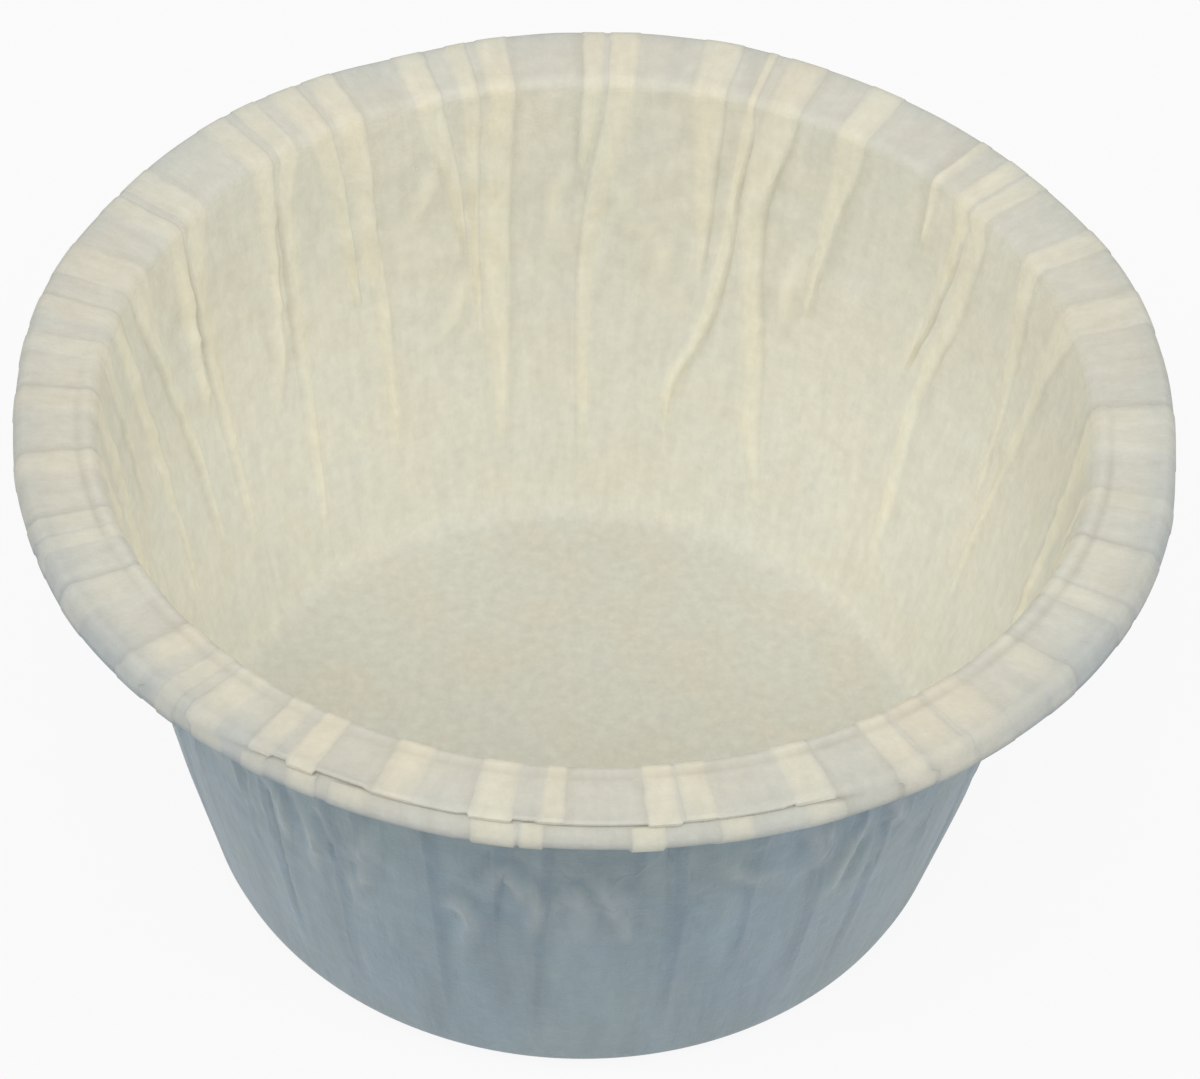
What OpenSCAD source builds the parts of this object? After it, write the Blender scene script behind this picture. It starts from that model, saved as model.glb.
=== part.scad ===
// Paper baking cup: one sheet, pleated up from a flat floor, its top rolled outward.
// Millimetres, +Z up. The origin is on the table, under the middle of the floor.

/* [Cup] */
// Diameter across the mouth, where the wall turns over into the rim.
mouth_d = 61; // [58:0.5:63]
// Diameter at the foot, where the line of the wall would meet the table.
foot_d = 50; // [47:0.5:53]
// Height of the mouth above the table.
mouth_h = 35.9; // [28:0.1:42]
// Radius of the turn from the floor up into the wall, outside.
corner_r = 2.2; // [1.4:0.1:3.6]
// How far the wall bows outward half way up.
wall_bow = 0.45; // [0:0.05:0.9]

/* [Paper] */
// Thickness of one ply of the paper.
ply_t = 0.12; // [0.08:0.01:0.14]

/* [Rim] */
// Width of the rim's top face, from the mouth out to the pressed crease.
rim_w = 4.6; // [4.2:0.1:6]
// How much higher the crease is than the mouth.
rim_rise = 0.7; // [0.5:0.1:1.6]
// Height of the rim's side, from the crease to where it rolls under.
side_h = 1.5; // [1.2:0.1:2]
// How far the side stands out past the crease at its low edge.
side_flare = 0.45; // [0.2:0.05:0.8]
// Depth of the rolled-under part below the mouth.
roll_drop = 1.6; // [1.4:0.1:2.2]
// Space between the roll and the wall.
roll_gap = 0.85; // [0.7:0.05:1.2]
// Length of the paper's edge tucked up inside the roll.
tuck_w = 0.9; // [0.6:0.1:1.4]

/* [Pleats] */
// Width of the pleats at the rim, as a share of the widths in the list below.
pleat_scale = 1; // [0.6:0.05:1.05]
// Width of a pleat at its low end, as a share of its width at the rim.
pleat_taper = 0.35; // [0.3:0.05:0.8]
// Height above the table at which the pleats begin.
pleat_start = 4.5; // [4:0.5:9]

/* [Hidden] */
mouth_r = mouth_d / 2;
foot_r = foot_d / 2;
draft = atan((mouth_r - foot_r) / mouth_h);
floor_r = foot_r - corner_r * tan((90 - draft) / 2);
mid_r = corner_r - ply_t / 2;
lip_turn = 0.5;
crease_r = 0.35;
crease_h = mouth_h + rim_rise;
roll_h = mouth_h - roll_drop;
rim_r = mouth_r + rim_w;
wall_top = mouth_h - lip_turn;
corner_steps = 3;
fold_edge = 0.5;
wide_gap = 6;

// Where each pleat starts round the rim and how wide it is there, in whole degrees.
pleat_at = [12, 24, 35, 45, 56, 66, 76, 87, 91, 102, 107, 112, 123, 127, 133, 137,
    149, 153, 162, 171, 177, 184, 195, 203, 207, 214, 224, 229, 233, 239, 243, 251,
    260, 268, 277, 281, 290, 299, 304, 308, 317, 328, 332, 344, 353];
pleat_w = [5, 3, 6, 2, 4, 5, 4, 3, 2, 3, 3, 3, 3, 3, 2, 3,
    2, 2, 4, 3, 3, 3, 2, 3, 2, 4, 3, 2, 3, 2, 3, 4,
    4, 3, 3, 2, 4, 2, 3, 4, 4, 2, 5, 3, 5];
pleats = len(pleat_at);

// Middle of the paper from the edge of the floor to the tucked end: [radius, height].
function corner_point(turn) = [floor_r + mid_r * cos(turn), corner_r + mid_r * sin(turn)];
wall_foot = corner_point(-draft);
function wall_point(h) = let (u = (h - wall_foot[1]) / (wall_top - wall_foot[1]))
    [wall_foot[0] + u * (mouth_r - wall_foot[0]) + 4 * wall_bow * u * (1 - u), h];

paper_line = [
    for (k = [0:corner_steps]) corner_point(-90 + k * (90 - draft) / corner_steps),
    wall_point(pleat_start),
    wall_point((pleat_start + wall_top) / 2),
    wall_point(wall_top),
    [mouth_r + lip_turn, mouth_h],
    [rim_r - crease_r, crease_h],
    [rim_r, crease_h - crease_r],
    [rim_r + side_flare, crease_h - side_h],
    [rim_r - side_flare, roll_h],
    [mouth_r + roll_gap + tuck_w, roll_h],
    [mouth_r + roll_gap, roll_h + roll_drop / 3],
    [mouth_r + roll_gap + tuck_w, mouth_h - lip_turn]
];
rows = len(paper_line);
pleat_row = corner_steps + 1;
rim_row = pleat_row + 2;

// Direction of the paper's inside face at a row; straight up on the floor.
function face_dir(row) = row == 0 ? [0, 1] :
    let (d = paper_line[min(row + 1, rows - 1)] - paper_line[row - 1]) [-d[1], d[0]] / norm(d);

// Share of a pleat's full width and of its extra plies at a row.
function spread(row) = row <= pleat_row ? pleat_taper :
    row >= rim_row ? 1 : (1 + pleat_taper) / 2;
function extra(row) = row <= pleat_row ? 0 : 1;

// Columns round the cup: [middle angle, offset from it, extra ply on each face].
function pleat_columns(i) = let (half = pleat_scale * pleat_w[i] / 2)
    [for (c = [[-half, 0], [fold_edge - half, 1], [half - fold_edge, 1], [half, 0]])
        [pleat_at[i] + pleat_w[i] / 2, c[0], c[1]]];
function gap_column(i) = let (end = pleat_at[i] + pleat_w[i],
        next = pleat_at[(i + 1) % pleats] + (i == pleats - 1 ? 360 : 0))
    next - end > wide_gap ? [[(end + next) / 2, 0, 0]] : [];
columns = [for (i = [0:pleats - 1]) each concat(pleat_columns(i), gap_column(i))];
count = len(columns);

function sheet_point(row, column, side) = let (c = columns[column],
        thick = side * ply_t * (0.5 + c[2] * extra(row)),
        angle = c[0] + c[1] * spread(row),
        p = paper_line[row] + thick * face_dir(row))
    [p[0] * cos(angle), p[0] * sin(angle), p[1]];

module liner() {
    points = [
        for (side = [1, -1], row = [0:rows - 1], column = [0:count - 1])
            sheet_point(row, column, side),
        [0, 0, ply_t],
        [0, 0, 0]
    ];
    under = rows * count;
    faces = [
        for (row = [0:rows - 2], c = [0:count - 1])
            let (n = (c + 1) % count, a = row * count, b = a + count)
                each [[a + c, a + n, b + n], [a + c, b + n, b + c],
                    [under + a + c, under + b + n, under + a + n],
                    [under + a + c, under + b + c, under + b + n]],
        for (c = [0:count - 1])
            let (n = (c + 1) % count, a = under - count)
                each [[2 * under, n, c], [2 * under + 1, under + c, under + n],
                    [a + c, a + n, under + a + n], [a + c, under + a + n, under + a + c]]
    ];
    color("#d9d8c4")
        polyhedron(points, faces, convexity = 8);
}

liner();
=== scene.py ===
import math
import bpy
import numpy as np
from mathutils import Matrix, Vector, noise


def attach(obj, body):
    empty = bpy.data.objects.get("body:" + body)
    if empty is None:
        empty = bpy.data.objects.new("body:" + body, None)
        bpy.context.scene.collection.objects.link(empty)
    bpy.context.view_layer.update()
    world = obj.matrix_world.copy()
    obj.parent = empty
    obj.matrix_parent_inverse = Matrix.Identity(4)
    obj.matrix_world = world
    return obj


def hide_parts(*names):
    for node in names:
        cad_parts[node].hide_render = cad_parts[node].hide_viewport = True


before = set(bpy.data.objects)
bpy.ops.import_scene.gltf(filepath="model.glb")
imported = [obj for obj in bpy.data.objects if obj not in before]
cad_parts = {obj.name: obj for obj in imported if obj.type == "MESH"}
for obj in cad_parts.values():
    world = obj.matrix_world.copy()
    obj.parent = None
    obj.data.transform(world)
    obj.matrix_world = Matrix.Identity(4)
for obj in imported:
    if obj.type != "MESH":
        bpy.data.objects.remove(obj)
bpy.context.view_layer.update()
mm = 0.001

# the cup: lengths in mm, angles in degrees round it from +X, and the photo looks from 270
linerCup = {
    "ply": 0.12,
    "floorRings": [0, 4, 9, 14, 18.5, 21.4, 23.12],
    "cornerCentre": (23.12, 2.2),
    "cornerRadius": 2.08,
    "cornerTurns": [-68, -48, -28, -9],
    "wallRows": 38,
    "wallBow": 0.45,
    "wallTop": (30.28, 35.15),
    "lip": [(30.34, 35.44), (30.5, 35.77), (30.78, 36.0), (31.12, 36.1)],
    "topFace": [(31.45, 36.13), (31.85, 36.16), (32.7, 36.26), (33.6, 36.38), (34.15, 36.47), (34.5, 36.56)],
    "pressedEdge": [(34.84, 36.6), (35.0, 36.5), (35.0, 36.38), (34.74, 36.28), (34.96, 36.14)],
    "side": [(35.26, 35.8), (35.5, 35.45), (35.58, 35.1), (35.46, 34.76)],
    "rolledUnder": [(35.1, 34.48), (34.4, 34.32), (33.4, 34.28), (32.4, 34.28)],
    "tuckedEnd": [(31.65, 34.45), (31.4, 34.85), (31.65, 35.25), (32.4, 35.4)],
    # on the near half the lip is a fine bead with a groove behind it, and the top is flatter
    "nearLip": [(30.46, 35.56), (30.6, 35.94), (30.84, 36.24), (31.22, 36.35)],
    "nearTopFace": [(31.66, 36.24), (32.0, 36.32), (32.8, 36.4), (33.6, 36.46), (34.15, 36.5), (34.5, 36.54)],
    # away from the creased front the rim just rolls over
    "rolledEdge": [(34.86, 36.58), (35.08, 36.48), (35.24, 36.32), (35.38, 36.1), (35.48, 35.86)],
    "rolledSide": [(35.58, 35.58), (35.62, 35.28), (35.58, 34.98), (35.42, 34.7)],
    "creaseSpan": (242, 294),  # where the rim's crease shows, as a gap with a painted shadow in it
    "columnsPerPleat": 14,
    "foldHeight": 0.28,     # how far a fold stands off the wall
    "pressedHeight": 0.05,  # step of the pressed plies on the rim
    "raggedEdge": 0.12,     # steps of the rim's edge from pleat to pleat
    "wobble": 0.2,          # slow waves of the wall
    "wrinkle": 0.07,        # fine upright wrinkles
    "crumple": 0.22,        # crushed paper below the rim
    "creaseHeight": 0.38,   # how far a crease stands out of the wall's outside
    "insideCrease": 0.3,    # and of its inside
    "ridgeWidth": 0.45,
    "hollowAt": 1.1,        # a shallow hollow runs along each crease, this far from it
    "hollowWidth": 0.5,
    "hollowShare": 0.25,    # the hollow's depth, as a share of the crease's height
    "creaseShadow": 2.8,      # how dark the painted shadow in the rim's pressed crease is
    "rimTilt": 0.3,         # the rim stands a little higher on the right
    "foldEdge": 0.2,        # width of a fold's edge on the rim, in degrees
    "foldSoftness": 0.27,   # how much wider it gets below the rim
    "narrowestFold": 0.36,  # in degrees
    "closestFolds": 0.1,    # degrees left between the edges of two folds
    "foldWander": 0.13,     # how far a fold's middle strays on the wall, in degrees
    "rimWander": 0.22,      # and on the rim
    "foldPasses": 4,        # how often the folds' edges are smoothed down the wall
    # the rim isn't quite round: how far it stands out at each angle
    "rimReach": [(0, -0.08), (18, 0.38), (38, 0.12), (60, 0.28), (78, 0.6), (90, 0.26), (100, 0.42),
        (112, -0.17), (124, 0.1), (138, 0.36), (150, 0.16), (168, 0.3), (184, -0.22), (200, -0.05),
        (216, 0.22), (240, 0.1), (270, 0.0), (300, 0.15), (324, 0.5), (342, 0.3), (354, -0.2)],
    # how pale the pressed pleats are at each angle of the rim
    "pleatTone": [(0, 0.5), (30, 0.8), (55, 1.0), (120, 1.0), (145, 0.7), (180, 0.45), (220, 0.55),
        (240, 0.8), (252, 1.0), (288, 1.0), (305, 0.85), (330, 0.55)],
    # how strong the painted blue-grey shade on the rim's side is at each angle
    "sideShade": [(0, 0.7), (190, 0.7), (208, 1.35), (234, 1.25), (252, 1.2), (264, 0.62), (306, 0.7),
        (322, 1.5), (346, 1.4), (356, 0.8)],
    # shares, row by row, of the wall's colour against the floor's painted shade, and of the painted shades of
    # the rim and of the rim's side
    "cornerShare": [0, 0.35, 0.8, 0.95],
    "lipShare": [0.4, 0.6, 0.82, 0.97],
    "sideShare": {
        "topFace": [0, 0, 0, 0.05, 0.1, 0.15],
        "pressedEdge": [0.15, 0.2, 0.2, 0.25, 0.25],
        "side": [0.25, 0.35, 0.62, 0.9],
    },
    "footShift": 0.3,       # the foot sits a little to the left
    "outerPlies": 0.05,     # how far a pressed pleat stands out of the wall's outside
    "outerLine": 0.04,      # and how far its sharp edge is drawn in there
    "wallSink": 0.02,       # how far the wall lies outside the section's line
    "floorBumps": 0.05,
    "grainFoot": 25.0,      # the wrinkles' noise lies flat this far out, then goes up the wall
    "grainStretch": 0.18,   # and is squeezed to this share of its height there
    "seed": 11,
}

# each pleat: start and width on the rim, shift on the rim's side, sharp edge (-1 low angle, 1 high),
# then (depth down the wall from the lip, middle, width) where the fold is read on the wall
pleatList = [
    (12.2, 5, 0, -1, [(0.1, 16.3, 2.6), (0.35, 18, 1.8), (0.6, 19.6, 1.2), (0.8, 20.2, 0.6)]),
    (24, 3.3, 0, -1, [(0.1, 24.8, 2.2), (0.35, 22.9, 1.4), (0.55, 22.2, 0.7)]),
    (35.2, 2.7, 0, -1, [(0.03, 35.7, 2.6), (0.23, 36.3, 2.4), (0.37, 38.2, 2.2), (0.5, 39.4, 2.2),
        (0.75, 39.0, 2.2), (0.92, 39.2, 1.5)]),
    (38.4, 2.5, 0, -1, [(0.04, 38.6, 2.0), (0.2, 39.7, 1.6), (0.34, 41.1, 1.2), (0.4, 42.4, 0.8),
        (0.46, 42.8, 0.5)]),
    (44, 1, 0.5, 1, [(0.06, 44.2, 0.8), (0.14, 44, 0.5)]),
    (55.8, 3.9, 0, -1, [(0.03, 57.6, 3.6), (0.1, 58.2, 3.0), (0.23, 59.0, 2.0), (0.36, 59.6, 1.1),
        (0.46, 59.8, 0.6)]),
    (65.4, 4.3, 0, -1, [(0.1, 68.6, 3.8), (0.23, 69.8, 3.0), (0.35, 69.0, 2.8), (0.45, 67.9, 2.8),
        (0.6, 66.4, 2.7), (0.76, 65.2, 2.6), (0.86, 63.8, 2.2), (0.98, 61.4, 1.7)]),
    (71.4, 0.8, 0, -1, [(0.03, 71.9, 1.4), (0.37, 72.9, 1.7), (0.54, 74.4, 1.8),
        (0.63, 76.4, 1.9), (0.67, 78.1, 1.7), (0.73, 78.8, 1.4), (0.9, 78.7, 1.0)]),
    (75.3, 4.2, 0, -1, [(0.1, 77.1, 3.2), (0.3, 76.4, 1.8), (0.45, 76.0, 0.6)]),
    (87, 3.2, 0, 1, [(0.08, 88.8, 3.2), (0.2, 90.4, 3.2), (0.3, 91.4, 2.4), (0.45, 92.2, 2.0),
        (0.7, 92.0, 1.8), (0.95, 91.2, 1.2)]),
    (91, 2.3, 0, 1, [(0.08, 92.5, 1.8), (0.14, 93.0, 0.9), (0.2, 93.3, 0.5)]),
    (102.3, 3.3, 0, -1, [(0.1, 104.7, 3.4), (0.35, 105.0, 3.4), (0.55, 104.8, 3.0),
        (0.7, 104.6, 2.4), (0.92, 104.5, 1.2)]),
    (107, 2.2, 0.5, -1, [(0.1, 108.0, 2.0), (0.3, 107.7, 1.6), (0.46, 107.8, 1.0), (0.6, 107.4, 0.5)]),
    (112, 3.3, 0, -1, [(0.08, 112.6, 2.8), (0.2, 110.8, 1.8), (0.36, 109.4, 0.8)]),
    (122.7, 3.2, 0, -1, [(0.1, 123.9, 2.8), (0.3, 123.5, 2.3), (0.42, 122.4, 2.0),
        (0.6, 122, 1.6), (0.85, 121.6, 1.1)]),
    (127.2, 3, 0.6, -1, [(0.1, 127.6, 2.0), (0.3, 126.6, 1.2), (0.45, 125.8, 0.6)]),
    (132.4, 2.7, 0.6, 1, [(0.08, 135.2, 2.2), (0.35, 135.5, 2.0), (0.6, 135.6, 2.0),
        (0.8, 136, 1.6), (0.98, 136.6, 1.0)]),
    (136.5, 3.2, 0, -1, [(0.1, 138.4, 2.2), (0.25, 138.6, 1.2), (0.36, 138.8, 0.6)]),
    (148.2, 3.8, 0, 1, [(0.08, 151.6, 2.6), (0.35, 151.8, 2.2), (0.55, 151.4, 2.0), (0.82, 150.6, 1.2)]),
    (153.3, 2.3, 0.5, -1, [(0.1, 155, 2.4), (0.3, 155.3, 1.6), (0.45, 155.2, 0.8)]),
    (161.6, 4.8, 0, 1, [(0.12, 163.6, 2.6), (0.35, 161.0, 1.8), (0.5, 159.4, 1.6),
        (0.72, 158.6, 1.2), (0.82, 158.4, 0.6)]),
    (170.2, 2.8, 0, -1, [(0.12, 171, 2.2), (0.45, 169.4, 1.4), (0.8, 168.2, 0.7)]),
    (175.8, 2.8, 0.5, 1, [(0.12, 177, 2.0), (0.4, 176, 1.0)]),
    (184, 3, 0, -1, [(0.15, 185.3, 2.0), (0.5, 184.9, 1.4), (0.9, 184.2, 0.7)]),
    (193.8, 2.8, 0, -1, [(0.15, 194.4, 1.8), (0.55, 195.2, 1.2), (0.9, 195.5, 0.6)]),
    (203.2, 2.2, -0.5, -1, [(0.15, 204.2, 1.8), (0.4, 205, 0.9), (0.6, 205.3, 0.5)]),
    (205.8, 1.9, 0.8, 1, [(0.15, 207.2, 1.6), (0.5, 207.8, 1.3), (0.92, 207.8, 0.7)]),
    (212.9, 3.8, 0, -1, [(0.15, 215, 2.6), (0.5, 215.4, 1.6), (0.95, 215.8, 0.8)]),
    (223.5, 3.2, -0.6, -1, [(0.15, 224.9, 2.0), (0.45, 225.8, 1.0), (0.65, 226.2, 0.5)]),
    (228.5, 2.1, 0, 1, [(0.15, 229.7, 1.4), (0.5, 230.2, 1.2), (0.9, 230.5, 0.6)]),
    (232.2, 3.3, 0.9, -1, [(0.15, 233.9, 1.9), (0.4, 233.6, 0.8)]),
    (239.2, 2.2, -0.4, -1, [(0.15, 240.2, 1.8), (0.5, 240.6, 1.6), (0.95, 240.6, 0.8)]),
    (243.1, 2.7, 0.4, 1, [(0.15, 244.6, 1.6), (0.4, 244.2, 0.8), (0.55, 243.8, 0.5)]),
    (251.7, 3.7, -3.9, -1, [(0.15, 253.4, 2.4), (0.5, 254, 1.6), (0.95, 254.2, 0.8)]),
    (260.6, 3.7, 0.4, -1, [(0.15, 262.2, 2.2), (0.45, 261.6, 0.9), (0.6, 261.2, 0.5)]),
    (267, 1.9, -1.7, 1, [(0.15, 267.6, 1.7), (0.5, 266.9, 1.4), (0.95, 266.2, 0.8)]),
    (276.6, 2.8, -1.4, -1, [(0.15, 278, 1.6), (0.4, 277.4, 0.7)]),
    (279.9, 2.8, 3.1, -1, [(0.15, 281.9, 2.1), (0.5, 283.2, 1.8), (0.95, 283.6, 0.8)]),
    (290, 3.6, 0.9, 1, [(0.15, 291.6, 2.2), (0.5, 291.8, 1.2), (0.75, 292, 0.6)]),
    (299.8, 3, 0.5, -1, [(0.15, 301.2, 1.8), (0.5, 301.6, 1.4), (0.92, 302, 0.7)]),
    (303.5, 3.8, 0.5, -1, [(0.15, 305.6, 1.8), (0.4, 305.6, 0.8)]),
    (308.1, 4.3, 0.3, -1, [(0.15, 310.4, 2.2), (0.5, 310.2, 1.5), (0.95, 309.8, 0.8)]),
    (317.5, 3.3, 0, 1, [(0.15, 318.9, 2.0), (0.45, 319.6, 1.2), (0.8, 320, 0.6)]),
    (328.4, 2.7, 0, -1, [(0.15, 329.8, 1.6), (0.5, 330.8, 1.2), (0.95, 331, 0.7)]),
    (331.8, 6.6, 0.4, 1, [(0.15, 335, 2.2), (0.4, 335.2, 0.8)]),
    (344, 2.2, 0, -1, [(0.15, 345.4, 2.0), (0.5, 345.8, 1.5), (0.92, 346, 0.7)]),
    (352.6, 7, 0, 1, [(0.15, 356, 2.6), (0.5, 357, 1.4), (0.85, 357.6, 0.6)]),
]

# creases standing out of the wall on its outside, as (angle, height) along each
creaseList = [
    [(267.6, 19.4), (269.4, 22.2), (271.2, 22.8), (271.8, 20), (271.2, 17)],
    [(272.6, 24.4), (274.4, 22.6), (277.4, 21.2)],
    [(273, 23.4), (275.4, 20.6), (277.2, 17.4)],
    [(246.2, 25.8), (245.2, 22.6), (242.6, 21.2)],
    [(245.2, 22.6), (244.6, 19.4), (242, 18)],
    [(260.4, 22.2), (262, 24.6), (263.8, 23.4), (264.8, 20.8)],
    [(287.6, 24.8), (290, 22.8), (293, 21.8), (296.2, 21.9)],
    [(297.8, 26), (299.4, 24.2), (300.6, 21.6)],
    [(255.4, 19.6), (257, 20.4), (258.2, 18.6), (257.4, 15.6)],
    [(300, 25.8), (301.6, 23.4)],
    [(265, 23.6), (266.4, 21.4), (266, 18.6)],
    [(231, 25.4), (233.4, 22.6), (232.6, 19)],
    [(236, 23.8), (238, 21.2), (236.8, 17.8)],
    [(306.4, 24), (304.6, 21), (303.8, 17)],
    [(309, 26), (311.6, 22.8), (313.4, 21.8)],
]

# and on its inside
insideCreases = [
    [(88.2, 28.4), (86.3, 25.2), (82.6, 24.0), (81.2, 22.0), (79.3, 18.4)],
    [(113.2, 31.0), (115, 28.6), (117.6, 26.4)],
    [(109.3, 21.3), (111.4, 18.4), (114.3, 16.4)],
    [(138.8, 25.4), (139.8, 20.0), (142.0, 17.0)],
    [(61.4, 26.0), (63, 22.4), (62.4, 19.6)],
    [(95.4, 29.6), (97, 26.8), (96.6, 23.0)],
]


def smoothStep(low, high, value):
    t = np.clip((value - low) / (high - low), 0, 1)
    return t * t * (3 - 2 * t)


def rowsOf(rows, *parts):
    return [i for i, (r, z, part) in enumerate(rows) if part in parts]


def sheetSection(cup):
    rows = [(r, cup["ply"], "floor") for r in cup["floorRings"]]
    centreR, centreZ = cup["cornerCentre"]
    bend = cup["cornerRadius"]
    for turn in cup["cornerTurns"]:
        a = math.radians(turn)
        rows.append((centreR + bend * math.cos(a), centreZ + bend * math.sin(a), "corner"))
    footR, footZ = rows[-1][0], rows[-1][1]
    topR, topZ = cup["wallTop"]
    for i in range(1, cup["wallRows"] + 1):
        u = i / cup["wallRows"]
        r = footR + u * (topR - footR) + 4 * cup["wallBow"] * u * (1 - u)
        rows.append((r, footZ + u * (topZ - footZ), "wall"))
    for part in ("lip", "topFace", "pressedEdge", "side", "rolledUnder", "tuckedEnd"):
        rows += [(r, z, part) for r, z in cup[part]]
    return rows


def drawAndSpin(name, rows, columns):
    # half section drawn by extruding one vertex, then spun round the axis
    bpy.ops.object.select_all(action='DESELECT')
    bpy.ops.mesh.primitive_plane_add(size=2 * mm, location=(0, 0, 0))
    cup = bpy.context.object
    cup.name = name
    cup.data.name = name
    bpy.ops.object.mode_set(mode='EDIT')
    bpy.ops.mesh.select_all(action='SELECT')
    bpy.ops.mesh.merge(type='CENTER')
    bpy.ops.transform.translate(value=(rows[0][0] * mm, 0, rows[0][1] * mm))
    for near, far in zip(rows, rows[1:]):
        step = ((far[0] - near[0]) * mm, 0, (far[1] - near[1]) * mm)
        bpy.ops.mesh.extrude_region_move(TRANSFORM_OT_translate={"value": step})
    bpy.ops.mesh.select_all(action='SELECT')
    bpy.ops.mesh.spin(steps=columns, angle=math.tau, center=(0, 0, 0), axis=(0, 0, 1))
    bpy.ops.mesh.select_all(action='SELECT')
    bpy.ops.mesh.remove_doubles(threshold=1e-6)
    bpy.ops.mesh.normals_make_consistent(inside=False)
    bpy.ops.object.mode_set(mode='OBJECT')
    floorUp = sum(f.normal.z for f in cup.data.polygons if f.center.to_2d().length < 18 * mm)
    if floorUp < 0:
        bpy.ops.object.mode_set(mode='EDIT')
        bpy.ops.mesh.select_all(action='SELECT')
        bpy.ops.mesh.flip_normals()
        bpy.ops.object.mode_set(mode='OBJECT')
    return cup


def pleatEdges(cup, rows, depth, edge):
    # low and high edge of every pleat at every row, in degrees
    count = len(pleatList)
    low = np.zeros((len(rows), count))
    high = np.zeros((len(rows), count))
    topIn, topOut = cup["lip"][-1][0], cup["pressedEdge"][0][0]
    for k, (start, width, shift, sharp, path) in enumerate(pleatList):
        knots = [(0.0, start + width / 2, width)] + path
        knots.append((1.01, path[-1][1], min(0.45, path[-1][2])))
        d = [q[0] for q in knots]
        for i, (r, z, part) in enumerate(rows):
            if part in ("floor", "corner", "wall"):
                wander = cup["foldWander"] * noise.noise(Vector((k * 3.7, depth[i] * 5, 4)))
                middle = np.interp(depth[i], d, [q[1] for q in knots])
                middle += wander * smoothStep(0, 0.15, depth[i])
                wide = np.interp(depth[i], d, [q[2] for q in knots])
            else:
                over = {"lip": 0, "topFace": 0, "pressedEdge": 0, "side": 1}.get(part, 1.25)
                if (r, z) == cup["pressedEdge"][-1]:
                    over = 1
                out = smoothStep(topIn, topOut, r) if part == "topFace" else 1
                ragged = cup["rimWander"] * noise.noise(Vector((k * 5.1, r * 1.7, z * 1.3)))
                middle = start + width / 2 + shift * over + ragged * out
                wide = width * (1 + 0.06 * noise.noise(Vector((k * 2.3, r, 9))))
            low[i, k], high[i, k] = middle - wide / 2, middle + wide / 2
    for i in range(len(rows)):  # neighbours never cross
        for k in range(count):
            high[i, k] = max(high[i, k], low[i, k] + cup["narrowestFold"])
            if k + 1 < count:
                low[i, k + 1] = max(low[i, k + 1], high[i, k] + 2 * edge[i] + cup["closestFolds"])
    wall = [i for i in rowsOf(rows, "wall") if depth[i] > 0.04]
    for edges in (low, high):  # and bend smoothly down the wall
        for n in range(cup["foldPasses"]):
            edges[wall[1:-1]] = (edges[wall[:-2]] + 2 * edges[wall[1:-1]] + edges[wall[2:]]) / 4
    return low, high


def distanceToCrease(angle, height, crease):
    # distance in mm on the unrolled wall, with how far along the crease it falls
    wallRadius = 28
    scale = wallRadius * math.pi / 180
    px, pz = angle * scale, height
    best = np.full(angle.shape, 99.0)
    total = len(crease) - 1
    along = np.zeros(angle.shape)
    for n, ((a0, z0), (a1, z1)) in enumerate(zip(crease, crease[1:])):
        ax, bx = a0 * scale, a1 * scale
        dx, dz = bx - ax, z1 - z0
        t = np.clip(((px - ax) * dx + (pz - z0) * dz) / (dx * dx + dz * dz), 0, 1)
        dist = np.hypot(px - ax - t * dx, pz - z0 - t * dz)
        nearer = dist < best
        best = np.where(nearer, dist, best)
        along = np.where(nearer, (n + t) / total, along)
    return best, along


def pleatColumns(cup, rows, depth, columns):
    # the angle of every row and column, and how far it is a fold, pressed, covered or a fold's sharp edge,
    # which carries a painted shadow line
    edge = cup["foldEdge"] + cup["foldSoftness"] * smoothStep(0, 0.05, depth)
    low, high = pleatEdges(cup, rows, depth, edge)
    # across a pleat from its low edge: where its columns are, how high a leaning fold and, further
    # down the wall, a rounded one stand there, and how much of the tint of three plies they have
    inside = [0.0, 0.12, 0.3, 0.5, 0.7, 0.88, 1.0]
    leaning = [0.9, 1.0, 0.84, 0.6, 0.36, 0.16, 0.0]
    rounded = [0.25, 0.62, 0.95, 1.0, 0.78, 0.42, 0.1]
    cover = [0.5, 0.85, 1.0, 1.0, 1.0, 0.85, 0.5]
    edgeCover = 0.12
    past = len(inside) + 1
    gapColumns = cup["columnsPerPleat"] - past - 1
    angle, fold, pressed, covered, line = np.zeros((5, len(rows), columns))
    rounding = smoothStep(0.3, 0.75, depth)
    pleats = len(pleatList)
    for k in range(pleats):
        sharp = pleatList[k][3]
        c = k * cup["columnsPerPleat"]
        after = low[:, (k + 1) % pleats] + (360 if k == pleats - 1 else 0)
        angle[:, c] = low[:, k] - edge
        for n, f in enumerate(inside):
            angle[:, c + 1 + n] = low[:, k] * (1 - f) + high[:, k] * f
            tilted, ridge = (leaning[n], rounded[n]) if sharp < 0 else (leaning[-1 - n], rounded[-1 - n])
            fold[:, c + 1 + n] = tilted * (1 - rounding) + ridge * rounding
            pressed[:, c + 1 + n] = 1
            covered[:, c + 1 + n] = cover[n]
        angle[:, c + past] = high[:, k] + edge
        for n in range(gapColumns):
            f = (n + 1) / (gapColumns + 1)
            angle[:, c + past + 1 + n] = (high[:, k] + edge) * (1 - f) + (after - edge) * f
        covered[:, c] = covered[:, c + past] = edgeCover
        line[:, c if sharp < 0 else c + past] = 1
    return angle, fold, pressed, covered, line


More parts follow.
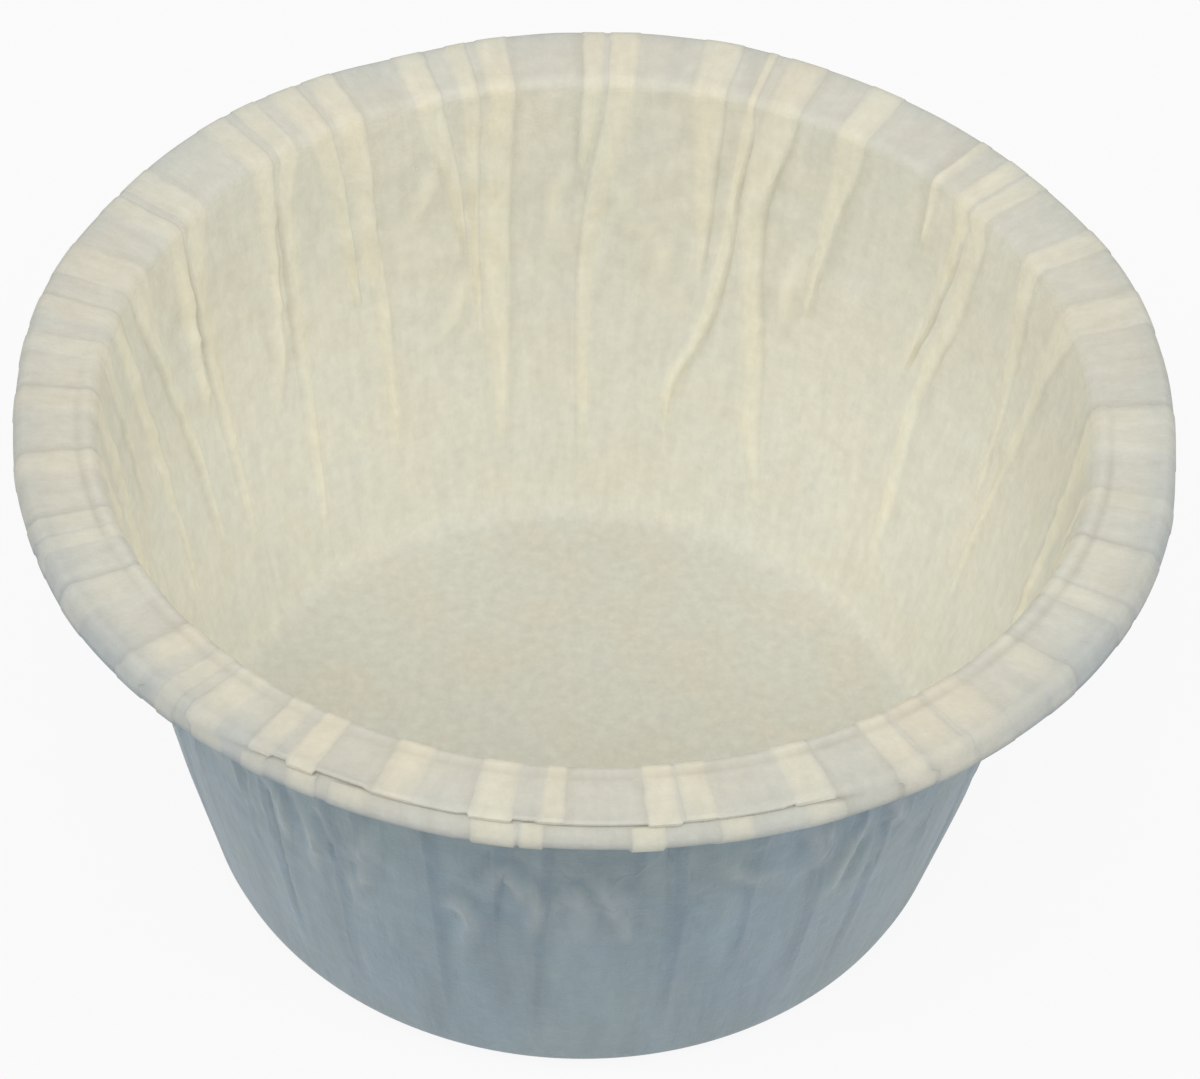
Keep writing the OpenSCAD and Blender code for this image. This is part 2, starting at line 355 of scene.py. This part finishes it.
def paperWaves(cup, rows, depth, rad):
    # waves, wrinkles and crushed paper that both faces share, and how the rim rises and reaches out
    shared, rimRise, rimOut = np.zeros((3, *rad.shape))
    ring = np.interp(np.arange(360), *zip(*cup["rimReach"]), period=360)
    for n in range(2):
        ring = sum(np.roll(ring, s) for s in range(-3, 4)) / 7
    swell = np.interp(np.degrees(rad) % 360, np.arange(360), ring, period=360)
    for i, (r, z, part) in enumerate(rows):
        for c in range(rad.shape[1]):
            x, y = math.cos(rad[i, c]), math.sin(rad[i, c])
            if part in ("corner", "wall"):
                free = float(smoothStep(1.0, 0.75, depth[i])) if depth[i] > 0.75 else 1.0
                below = float(smoothStep(0.0, 0.12, depth[i]))
                wave = noise.noise(Vector((x * 3, y * 3, z * 0.035)))
                streak = noise.noise(Vector((x * 15, y * 15, z * 0.07)))
                streak += 0.5 * noise.noise(Vector((x * 34, y * 34, z * 0.12)))
                upper = float(smoothStep(9, 22, z))
                bendX = noise.noise(Vector((x * 6, y * 6, z * 0.2)))
                bendY = noise.noise(Vector((y * 6, x * 6, z * 0.2)))
                bent = Vector((x * 9, y * 9, z * 0.3)) + Vector((bendX, bendY, 0)) * 0.8
                crush = 1 - abs(noise.noise(bent)) * 3
                shared[i, c] = free * (cup["wobble"] * wave * (0.3 + 0.7 * below) + cup["wrinkle"] * streak
                    + cup["crumple"] * upper * below * max(crush, 0) ** 2 - cup["wallSink"])
            if part not in ("floor", "corner"):
                wave = noise.noise(Vector((x * 2.2, y * 2.2, 7)))
                small = noise.noise(Vector((x * 8, y * 8, 3)))
                rise = (1 - depth[i]) ** 2
                out = 0.35 * rise + 0.65 * float(smoothStep(31, 34.5, r)) * (part != "wall")
                rimRise[i, c] = rise * (0.14 * wave + 0.05 * small + cup["rimTilt"] * x)
                rimOut[i, c] = out * (0.04 * small + swell[i, c])
    return shared, rimRise, rimOut


def foldCreases(cup, shared, angle, heights, onWall):
    # adds the creases to the shared waves, and tells where they and their hollows are, for a painted
    # highlight along the creases and painted shade in the hollows
    crease, flank = np.zeros((2, *angle.shape))
    for paths, height in ((creaseList, -cup["creaseHeight"]), (insideCreases, cup["insideCrease"])):
        ridges, hollows = np.zeros((2, *angle.shape))
        for path in paths:
            dist, along = distanceToCrease(angle, heights, path)
            along = np.sin(np.pi * np.clip(along * 0.84 + 0.08, 0, 1))
            ridge = np.exp(-(dist / cup["ridgeWidth"]) ** 2)
            hollow = np.exp(-((dist - cup["hollowAt"]) / cup["hollowWidth"]) ** 2)
            ridges = np.maximum(ridges, ridge * along * onWall)
            hollows = np.maximum(hollows, hollow * along * onWall)
        shared += height * (ridges - cup["hollowShare"] * hollows * (1 - ridges))
        crease += ridges
        flank += hollows * (1 - ridges)
    return crease, flank


def sectionRound(cup, rows, near, creased):
    # the section at every column, and which way the paper's inside faces along it
    base = np.array([(r, z) for r, z, part in rows])
    nearBase = base.copy()
    nearBase[rowsOf(rows, "lip")] = cup["nearLip"]
    nearBase[rowsOf(rows, "topFace")] = cup["nearTopFace"]
    rolledBase = base.copy()
    rolledBase[rowsOf(rows, "pressedEdge")] = cup["rolledEdge"]
    rolledBase[rowsOf(rows, "side")] = cup["rolledSide"]
    drawn = base[:, None, :] * (1 - near)[:, :, None] + nearBase[:, None, :] * near[:, :, None]
    onEdge = np.array([part in ("pressedEdge", "side") for r, z, part in rows])[:, None]
    drawn = np.where((onEdge * (1 - creased) > 0)[:, :, None],
        base[:, None, :] * creased[:, :, None] + rolledBase[:, None, :] * (1 - creased)[:, :, None], drawn)
    lean = np.zeros(drawn.shape)
    last = len(rows) - 1
    for i in range(len(rows)):
        along = drawn[min(i + 1, last)] - drawn[max(i - 1, 0)]
        along = along / np.linalg.norm(along, axis=1)[:, None]
        lean[i] = (0, 1) if rows[i][2] == "floor" else np.stack([-along[:, 1], along[:, 0]], axis=1)
    return drawn, lean


def raggedRim(cup, rows, segment, onPleat, creased):
    # steps of the rim's edge and side from pleat to pleat: how far out, and how far down
    out, down = np.zeros((2, *creased.shape))
    edgeSteps = (segment - 0.45) * 2 + onPleat * 0.5
    sideSteps = ((segment * 7.3) % 1) - 0.5
    for part, steps, weights, drop in (("pressedEdge", edgeSteps, [0.6, 0.8, 0.8, 0.7, 0.6], 0.45),
            ("side", sideSteps, [0.5, 0.6, 0.75, 0.9], 0.9)):
        for i, weight in zip(rowsOf(rows, part), weights):
            push = steps * cup["raggedEdge"] * (0.3 + 0.7 * creased[i])
            out[i] = weight * push
            down[i] = weight * push * drop
    return out, down


def floorBumps(cup, rows, rad):
    # faint unevenness of the floor's inside
    bumps = np.zeros(rad.shape)
    high = cup["floorBumps"]
    for i, (r, z, part) in enumerate(rows):
        if part == "floor" and 2 < r < 22.5:
            for c in range(rad.shape[1]):
                x, y = r * math.cos(rad[i, c]), r * math.sin(rad[i, c])
                bumps[i, c] = high + high * noise.noise(Vector((x * 0.25, y * 0.25, 0)))
    return bumps


def tintShares(cup, rows):
    # how much each row has of the wall's colour against the floor's painted shade, of the rim's painted shade
    # and of the rim side's painted shade
    wallShare, rimShare, rimSide = np.ones((3, len(rows), 1))
    wallShare[rowsOf(rows, "floor")] = 0
    wallShare[rowsOf(rows, "corner"), 0] = cup["cornerShare"]
    rimShare[rowsOf(rows, "floor", "corner", "wall")] = 0
    rimShare[rowsOf(rows, "lip"), 0] = cup["lipShare"]
    rimSide[rowsOf(rows, "floor", "corner", "wall", "lip")] = 0
    for part, shares in cup["sideShare"].items():
        rimSide[rowsOf(rows, part), 0] = shares
    return wallShare, rimShare, rimSide


def rimGrooveShadows(cup, rows, rad, near, creased):
    # painted shadow lines on the rim: in the pressed crease, and in the groove behind the bead
    grooveShadows = np.zeros(rad.shape)
    grooveShadows[rowsOf(rows, "pressedEdge")[3]] = cup["creaseShadow"] * creased[0]
    behindBead = rowsOf(rows, "topFace")[0]
    patchy = np.array([noise.noise(Vector((math.cos(a) * 7, math.sin(a) * 7, 1))) for a in rad[behindBead]])
    grooveShadows[behindBead] = near[behindBead] * (0.75 + 0.8 * patchy).clip(0, 1)
    return grooveShadows


def wrinklePlaces(cup, rows, rad):
    # where the wrinkles' noise is read: flat out to the foot, then stretched up the wall
    base = np.array([(r, z) for r, z, part in rows])
    length = np.concatenate([[0], np.cumsum(np.linalg.norm(np.diff(base, axis=0), axis=1))])
    flatR = np.minimum(base[:, 0], cup["grainFoot"])[:, None]
    rising = np.maximum(length - cup["grainFoot"], 0)[:, None] * cup["grainStretch"]
    return np.stack([flatR * np.cos(rad), flatR * np.sin(rad), np.broadcast_to(rising, rad.shape)], axis=-1)


def pressPleats(cup, rows, columns):
    # final place of every row and column on both faces of the paper, with what the materials read
    wallLow = next(z for r, z, part in rows if part == "wall")
    topZ = cup["wallTop"][1]
    depth = np.array([0.0 if part not in ("floor", "corner", "wall") else (topZ - z) / (topZ - wallLow)
        for r, z, part in rows])
    angle, fold, pressed, covered, line = pleatColumns(cup, rows, depth, columns)
    onWall = np.array([part in ("corner", "wall") for r, z, part in rows])[:, None]
    onFloor = np.array([part == "floor" for r, z, part in rows])[:, None]
    onRim = ~(onWall | onFloor)
    notFloor = np.where(onFloor, 0, 1)

    # each pleat's size, and a random step for every pleat and every gap
    pleats = len(pleatList)
    owner = np.arange(columns) // cup["columnsPerPleat"]
    onPleat = pressed[0]
    noise.seed_set(cup["seed"])
    size = np.array([0.75 + 0.55 * noise.random() for q in pleatList])[owner]
    step = np.array([noise.random() for q in range(2 * pleats)])
    segment = np.where(onPleat > 0, step[owner * 2], step[owner * 2 + 1])

    # how high the paper is lifted: pressed flat on the rim, folded on the wall, gone below the fold's end
    d = depth[:, None]
    ends = np.array([q[4][-1][0] for q in pleatList])[owner]
    fade = 1 - smoothStep(ends * 0.82, ends * 1.04, d)
    soft = smoothStep(0.0, 0.13, d)
    lift = pressed * cup["pressedHeight"] * (1 - soft) + fold * cup["foldHeight"] * size * soft
    lift = lift * np.where(onFloor, 0, fade)

    rad = np.radians(angle)
    turned = np.degrees(rad) % 360
    near = smoothStep(0.15, -0.25, np.sin(rad))
    first, last = cup["creaseSpan"]
    creased = smoothStep(first - 8, first + 6, turned) * smoothStep(last + 4, last - 6, turned)
    heights = np.broadcast_to(np.array([z for r, z, part in rows])[:, None], angle.shape)
    shared, rimRise, rimOut = paperWaves(cup, rows, depth, rad)
    crease, flank = foldCreases(cup, shared, angle, heights, onWall)
    drawn, lean = sectionRound(cup, rows, near, creased)
    out, down = raggedRim(cup, rows, segment, onPleat, creased)
    rimOut += out
    rimRise -= down

    outerPlies = cup["outerPlies"] * pressed * fade * np.where(onWall, smoothStep(1, 0.8, d), 0)
    moves = (shared + lift + floorBumps(cup, rows, rad),
        shared - cup["ply"] - outerPlies + cup["outerLine"] * line * fade * onWall)
    places = np.zeros((2, len(rows), columns, 3))
    for face, move in enumerate(moves):
        radius = drawn[:, :, 0] + lean[:, :, 0] * move + rimOut
        places[face, :, :, 0] = radius * np.cos(rad) - cup["footShift"] * (1 - heights / topZ).clip(0, 1)
        places[face, :, :, 1] = radius * np.sin(rad)
        places[face, :, :, 2] = drawn[:, :, 1] + lean[:, :, 1] * move + rimRise
    places[1, :, :, 2] = np.where(onFloor, 0.0, np.maximum(places[1, :, :, 2], 0.0))

    wallShare, rimShare, rimSide = tintShares(cup, rows)
    paleness = np.interp(turned, *zip(*cup["pleatTone"]), period=360) * (0.85 + 0.3 * step[owner * 2])
    paleness = np.where(onRim, paleness, 1)
    # painted shade on the rim's side, stronger at some angles
    sideShade = np.interp(turned, *zip(*cup["sideShade"]), period=360) * (0.82 + 0.36 * (segment * 5.3 % 1))
    gapTone = np.where(onPleat > 0, 0, 0.18 * (segment * 3.7 % 1))[None, :] * onRim
    wallCover = np.where(onRim, 1, 0.6 - 0.08 * smoothStep(0.3, 0.8, d))
    # how strong the painted shadow along a fold's sharp edge is: weaker down the wall
    deepLine = np.where(onRim, 0.45, 0.5 - 0.15 * smoothStep(0.3, 0.65, d))
    look = {
        "plies": covered * fade * notFloor * wallCover * paleness + gapTone,
        # painted shadow: along the folds' sharp edges, in the rim's crease and in the groove behind the bead
        "foldShadow": np.maximum(line * fade * deepLine * notFloor, rimGrooveShadows(cup, rows, rad, near, creased)),
        # painted highlight along the creases, painted shade in their hollows
        "creaseHighlight": crease,
        "creaseShade": flank,
        # depth down the wall; the cream paper paints painted light by it, darker at the wall's top and
        # lighter at its bottom
        "wallDepth": np.broadcast_to(smoothStep(0.05, 0.85, d), angle.shape),
        # painted blue-grey shade on the rim's rolled-under side
        "rimSide": ((rimSide * (1.9 - 0.9 * creased)).clip(0, 1) * sideShade).clip(0, 1),
        "rimShare": np.broadcast_to(rimShare, angle.shape),
        "wallShare": np.broadcast_to(wallShare, angle.shape),
    }
    return places, look, wrinklePlaces(cup, rows, rad)


def makeLiner(cup):
    rows = sheetSection(cup)
    columns = len(pleatList) * cup["columnsPerPleat"]
    liner = drawAndSpin("paperLiner", rows, columns)
    print("section spun:", len(liner.data.vertices), "points,", len(rows), "rows,", columns, "columns")

    liner.data.materials.append(creamPaper())
    liner.data.materials.append(bluePaper())
    thick = liner.modifiers.new("ply", 'SOLIDIFY')
    thick.thickness = cup["ply"] * mm
    thick.offset = -1
    thick.use_rim = True
    thick.material_offset = 1
    thick.material_offset_rim = 0
    bpy.ops.object.modifier_apply(modifier=thick.name)

    # which row and column each point belongs to, read from its place
    half = len(liner.data.vertices) // 2
    flat = np.zeros(half * 2 * 3)
    liner.data.vertices.foreach_get("co", flat)
    start = flat.reshape(-1, 3)[:half] / mm
    section = np.array([(r, z) for r, z, part in rows])
    where = np.stack([np.hypot(start[:, 0], start[:, 1]), start[:, 2]], axis=1)
    row = np.array([int(np.argmin(((section - w) ** 2).sum(axis=1))) for w in where])
    turn = np.degrees(np.arctan2(start[:, 1], start[:, 0])) % 360
    column = np.rint(turn / (360 / columns)).astype(int) % columns
    places, look, sheet = pressPleats(cup, rows, columns)
    moved = np.concatenate([places[0][row, column], places[1][row, column]])
    liner.data.vertices.foreach_set("co", (moved * mm).ravel())
    for name, values in look.items():
        layer = liner.data.attributes.new(name, 'FLOAT', 'POINT')
        oneFace = values[row, column]
        layer.data.foreach_set("value", np.concatenate([oneFace, oneFace]))
    layer = liner.data.attributes.new("sheetPlace", 'FLOAT_VECTOR', 'POINT')
    oneFace = sheet[row, column] * mm
    layer.data.foreach_set("vector", np.concatenate([oneFace, oneFace]).ravel())
    liner.data.update()

    bpy.ops.object.select_all(action='DESELECT')
    liner.select_set(True)
    bpy.context.view_layer.objects.active = liner
    bpy.ops.object.shade_smooth_by_angle(angle=math.radians(38))
    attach(liner, "root")
    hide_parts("liner")
    print("pleats pressed:", sum(len(f.vertices) - 2 for f in liner.data.polygons), "triangles")


paperLook = {
    "onePly": (0.855, 0.84, 0.75),
    "threePly": (1.0, 0.952, 0.79),
    "foldShade": (0.50, 0.455, 0.36),
    # painted shade: the floor darker than the wall
    "floorShade": (0.836, 0.836, 0.838),
    # painted light: the wall's tint is darker at its top (wallHigh) and lighter at its bottom (wallLow)
    "wallHigh": (0.935, 0.93, 0.905),
    "wallLow": (1.055, 1.06, 1.075),
    # painted shade: the rim and lip darker than the wall
    "rimShade": (0.828, 0.825, 0.826),
    # painted shade: blue-grey on the rim's rolled-under side
    "rimSideShade": (0.6, 0.693, 0.857),
    "outsideThin": (0.266, 0.352, 0.392),
    "outsideThick": (0.18, 0.254, 0.312),
    "outsideShade": (0.19, 0.25, 0.285),
    # painted highlight along the creases of the outside
    "outsideCreaseHighlight": (0.42, 0.47, 0.47),
    "roughness": 0.68,
}


def newFinish(name):
    finish = bpy.data.materials.new(name)
    finish.use_nodes = True
    nodes, links = finish.node_tree.nodes, finish.node_tree.links
    shader = nodes["Principled BSDF"]
    shader.inputs["Roughness"].default_value = paperLook["roughness"]
    shader.inputs["Specular IOR Level"].default_value = 0.3
    return finish, nodes, links, shader


def readAttribute(nodes, name):
    node = nodes.new("ShaderNodeAttribute")
    node.attribute_name = name
    return node


def cloudNoise(nodes, links, source, scale, detail, roughness=0.55):
    node = nodes.new("ShaderNodeTexNoise")
    node.inputs["Scale"].default_value = scale
    node.inputs["Detail"].default_value = detail
    node.inputs["Roughness"].default_value = roughness
    links.new(source, node.inputs["Vector"])
    return node.outputs["Fac"]


def spread(nodes, links, value, low, high, toLow=0.0, toHigh=1.0):
    node = nodes.new("ShaderNodeMapRange")
    node.inputs["From Min"].default_value = low
    node.inputs["From Max"].default_value = high
    node.inputs["To Min"].default_value = toLow
    node.inputs["To Max"].default_value = toHigh
    links.new(value, node.inputs["Value"])
    return node.outputs["Result"]


def blendColour(nodes, links, kind, amount, first, second):
    node = nodes.new("ShaderNodeMix")
    node.data_type = 'RGBA'
    node.blend_type = kind
    for socket, value in ((node.inputs["Factor"], amount), (node.inputs[6], first), (node.inputs[7], second)):
        if isinstance(value, bpy.types.NodeSocket):
            links.new(value, socket)
        elif isinstance(value, tuple):
            socket.default_value = (*value, 1)
        else:
            socket.default_value = value
    return node.outputs[2]


def mathNode(nodes, links, kind, first, second=None):
    node = nodes.new("ShaderNodeMath")
    node.operation = kind
    links.new(first, node.inputs[0])
    if isinstance(second, bpy.types.NodeSocket):
        links.new(second, node.inputs[1])
    elif second is not None:
        node.inputs[1].default_value = second
    return node.outputs[0]


def tintedBy(nodes, links, colour, name, low, high):
    # the colour times a tint that goes from low to high with an attribute
    tint = blendColour(nodes, links, 'MIX', readAttribute(nodes, name).outputs["Fac"], low, high)
    return blendColour(nodes, links, 'MULTIPLY', 1.0, colour, tint)


def markedBy(nodes, links, colour, name, share, mark):
    # the mark's colour where the attribute is strong
    amount = mathNode(nodes, links, 'MULTIPLY', readAttribute(nodes, name).outputs["Fac"], share)
    return blendColour(nodes, links, 'MIX', amount, colour, mark)


def relief(nodes, links, height, strength, distance, before=None):
    node = nodes.new("ShaderNodeBump")
    node.inputs["Strength"].default_value = strength
    node.inputs["Distance"].default_value = distance
    links.new(height, node.inputs["Height"])
    if before is not None:
        links.new(before, node.inputs["Normal"])
    return node.outputs["Normal"]


def crushedLines(nodes, links, source):
    # thin winding creases in the upper wall: where a drawn-out cloud noise passes its middle value
    upright = nodes.new("ShaderNodeMapping")
    upright.inputs["Scale"].default_value = (1, 1, 0.32)
    links.new(source, upright.inputs["Vector"])
    node = nodes.new("ShaderNodeTexNoise")
    node.inputs["Scale"].default_value = 230
    node.inputs["Detail"].default_value = 0
    node.inputs["Distortion"].default_value = 1.2
    links.new(upright.outputs["Vector"], node.inputs["Vector"])
    middle = mathNode(nodes, links, 'SUBTRACT', node.outputs["Fac"], 0.5)
    away = mathNode(nodes, links, 'ABSOLUTE', middle)
    ridge = spread(nodes, links, away, 0, 0.09, 1, 0)
    tone = readAttribute(nodes, "wallDepth").outputs["Fac"]
    belowRim = spread(nodes, links, tone, 0.08, 0.3)
    upper = spread(nodes, links, tone, 0.35, 0.75, 1, 0)
    ridge = mathNode(nodes, links, 'MULTIPLY', ridge, belowRim)
    return mathNode(nodes, links, 'MULTIPLY', ridge, upper)


def paperGrain(nodes, links, shader, strength, creased=False):
    # fibres, cloudy pulp and fine upright wrinkles, as relief
    place = nodes.new("ShaderNodeTexCoord").outputs["Object"]
    along = readAttribute(nodes, "sheetPlace").outputs["Vector"]
    fibre = cloudNoise(nodes, links, place, 5200, 3)
    pulp = cloudNoise(nodes, links, place, 1300, 4)
    wrinkle = cloudNoise(nodes, links, along, 900, 4, 0.6)
    normal = relief(nodes, links, fibre, 0.35 * strength, 0.00004)
    normal = relief(nodes, links, pulp, 0.5 * strength, 0.0001, normal)
    normal = relief(nodes, links, wrinkle, 0.6 * strength, 0.00018, normal)
    if creased:
        normal = relief(nodes, links, crushedLines(nodes, links, place), 0.2, 0.0003, normal)
    links.new(normal, shader.inputs["Normal"])
    return place, along


def creamPaper():
    finish, nodes, links, shader = newFinish("creamPaper")
    place, along = paperGrain(nodes, links, shader, 1.0)
    plies = readAttribute(nodes, "plies").outputs["Fac"]
    colour = blendColour(nodes, links, 'MIX', plies, paperLook["onePly"], paperLook["threePly"])
    cloud = spread(nodes, links, cloudNoise(nodes, links, place, 1100, 5, 0.65), 0.3, 0.7, 0.955, 1.045)
    colour = blendColour(nodes, links, 'MULTIPLY', 1.0, colour, cloud)
    patches = spread(nodes, links, cloudNoise(nodes, links, place, 150, 3), 0.38, 0.62)
    tint = blendColour(nodes, links, 'MIX', patches, (1.0, 0.985, 0.955), (0.985, 1.0, 1.0))
    colour = blendColour(nodes, links, 'MULTIPLY', 1.0, colour, tint)
    streaks = spread(nodes, links, cloudNoise(nodes, links, along, 1400, 4, 0.6), 0.35, 0.65, 0.97, 1.03)
    colour = blendColour(nodes, links, 'MULTIPLY', 1.0, colour, streaks)
    # painted shadow along the folds' sharp edges and in the rim's crease and groove
    colour = markedBy(nodes, links, colour, "foldShadow", 0.32, paperLook["foldShade"])
    # painted shade beside the creases and painted highlight along them
    colour = markedBy(nodes, links, colour, "creaseShade", 0.12, paperLook["foldShade"])
    colour = markedBy(nodes, links, colour, "creaseHighlight", 0.75, paperLook["threePly"])
    asItIs = (1.0, 1.0, 1.0)
    # painted light: the wall darker at its top, lighter at its bottom
    colour = tintedBy(nodes, links, colour, "wallDepth", paperLook["wallHigh"], paperLook["wallLow"])
    # painted shade on the floor
    colour = tintedBy(nodes, links, colour, "wallShare", paperLook["floorShade"], asItIs)
    # painted shade on the rim and lip
    colour = tintedBy(nodes, links, colour, "rimShare", asItIs, paperLook["rimShade"])
    # painted blue-grey shade on the rim's side
    colour = tintedBy(nodes, links, colour, "rimSide", asItIs, paperLook["rimSideShade"])
    links.new(colour, shader.inputs["Base Color"])
    return finish


def bluePaper():
    finish, nodes, links, shader = newFinish("bluePaper")
    place, along = paperGrain(nodes, links, shader, 1.3, creased=True)
    shader.inputs["Sheen Weight"].default_value = 0.4
    shader.inputs["Sheen Roughness"].default_value = 0.5
    plies = readAttribute(nodes, "plies").outputs["Fac"]
    colour = blendColour(nodes, links, 'MIX', plies, paperLook["outsideThin"], paperLook["outsideThick"])
    streaks = spread(nodes, links, cloudNoise(nodes, links, along, 420, 5, 0.6), 0.3, 0.7, 0.88, 1.12)
    colour = blendColour(nodes, links, 'MULTIPLY', 1.0, colour, streaks)
    cloud = spread(nodes, links, cloudNoise(nodes, links, place, 1000, 5, 0.65), 0.3, 0.7, 0.95, 1.05)
    colour = blendColour(nodes, links, 'MULTIPLY', 1.0, colour, cloud)
    patches = spread(nodes, links, cloudNoise(nodes, links, place, 130, 3), 0.36, 0.64)
    tint = blendColour(nodes, links, 'MIX', patches, (0.97, 0.99, 1.03), (1.03, 1.01, 0.97))
    colour = blendColour(nodes, links, 'MULTIPLY', 1.0, colour, tint)
    # painted shadow along the folds' sharp edges
    colour = markedBy(nodes, links, colour, "foldShadow", 0.3, paperLook["outsideShade"])
    # painted shade beside the creases and painted highlight along them
    colour = markedBy(nodes, links, colour, "creaseShade", 0.35, paperLook["outsideShade"])
    colour = markedBy(nodes, links, colour, "creaseHighlight", 0.6, paperLook["outsideCreaseHighlight"])
    links.new(colour, shader.inputs["Base Color"])
    return finish


stageLook = {
    "floorSize": 6.0,
    "floorColour": (0.66, 0.66, 0.66),
    "whiteShare": 0.9,
    "skyLight": 0.465,
    "lampDistance": 1.1,
    "lamps": [  # name, azimuth, elevation, watts, size
        ("frontLamp", 264, 56, 3.8, 0.7),
        ("rightLamp", 348, 36, 2.6, 0.8),
        ("leftLamp", 192, 36, 2.4, 0.8),
        ("backLamp", 85, 42, 0.6, 0.8),
    ],
}
photoCamera = {
    "lens": 99.0,
    "distance": 211.8,
    "elevation": 45.4,
    "roll": 2.6,
    "target": (0.68, 0.0, 22.8),
}


def makeTable():
    bpy.ops.object.select_all(action='DESELECT')
    bpy.ops.mesh.primitive_plane_add(size=stageLook["floorSize"], location=(0, 0, -0.00005))
    table = bpy.context.object
    table.name = "whiteTable"
    finish = bpy.data.materials.new("whiteTable")
    finish.use_nodes = True
    nodes, links = finish.node_tree.nodes, finish.node_tree.links
    shader = nodes["Principled BSDF"]
    shader.inputs["Base Color"].default_value = (*stageLook["floorColour"], 1)
    shader.inputs["Roughness"].default_value = 0.9
    shader.inputs["Specular IOR Level"].default_value = 0.1
    glow = nodes.new("ShaderNodeEmission")
    glow.inputs["Color"].default_value = (1, 1, 1, 1)
    glow.inputs["Strength"].default_value = 1.0
    rays = nodes.new("ShaderNodeLightPath")
    share = mathNode(nodes, links, 'MULTIPLY', rays.outputs["Is Camera Ray"], stageLook["whiteShare"])
    mix = nodes.new("ShaderNodeMixShader")
    links.new(share, mix.inputs["Fac"])
    links.new(shader.outputs["BSDF"], mix.inputs[1])
    links.new(glow.outputs["Emission"], mix.inputs[2])
    links.new(mix.outputs["Shader"], nodes["Material Output"].inputs["Surface"])
    table.data.materials.append(finish)


def makeSky():
    world = bpy.data.worlds.new("studio")
    bpy.context.scene.world = world
    world.use_nodes = True
    nodes, links = world.node_tree.nodes, world.node_tree.links
    soft = nodes["Background"]
    soft.inputs["Color"].default_value = (1, 1, 1, 1)
    soft.inputs["Strength"].default_value = stageLook["skyLight"]
    white = nodes.new("ShaderNodeBackground")
    white.inputs["Color"].default_value = (1, 1, 1, 1)
    white.inputs["Strength"].default_value = 1.0
    rays = nodes.new("ShaderNodeLightPath")
    mix = nodes.new("ShaderNodeMixShader")
    links.new(rays.outputs["Is Camera Ray"], mix.inputs["Fac"])
    links.new(soft.outputs["Background"], mix.inputs[1])
    links.new(white.outputs["Background"], mix.inputs[2])
    links.new(mix.outputs["Shader"], nodes["World Output"].inputs["Surface"])


def softLamp(name, azimuth, elevation, power, size):
    a, e = math.radians(azimuth), math.radians(elevation)
    toLamp = Vector((math.cos(e) * math.cos(a), math.cos(e) * math.sin(a), math.sin(e)))
    place = toLamp * stageLook["lampDistance"]
    bpy.ops.object.light_add(type='AREA', location=place)
    lamp = bpy.context.object
    lamp.name = name
    lamp.data.shape = 'DISK'
    lamp.data.size = size
    lamp.data.energy = power
    aim = Vector((0, 0, 0.02)) - place
    lamp.rotation_euler = aim.to_track_quat('-Z', 'Y').to_euler()


def placeCamera(view):
    e = math.radians(view["elevation"])
    target = Vector(view["target"]) * mm
    back = Vector((0, -math.cos(e), math.sin(e)))
    data = bpy.data.cameras.new("photoCamera")
    data.lens = view["lens"]
    data.sensor_width = 36
    data.clip_start, data.clip_end = 0.01, 10
    camera = bpy.data.objects.new("photoCamera", data)
    bpy.context.collection.objects.link(camera)
    turn = Matrix.Rotation(math.radians(90) - e, 4, 'X') @ Matrix.Rotation(math.radians(view["roll"]), 4, 'Z')
    camera.matrix_world = Matrix.Translation(target + back * view["distance"] * mm) @ turn
    bpy.context.scene.camera = camera


bpy.context.scene.view_settings.view_transform = 'Standard'
placeCamera(photoCamera)
makeSky()
for lamp in stageLook["lamps"]:
    softLamp(*lamp)
makeTable()
print("stage set")
makeLiner(linerCup)
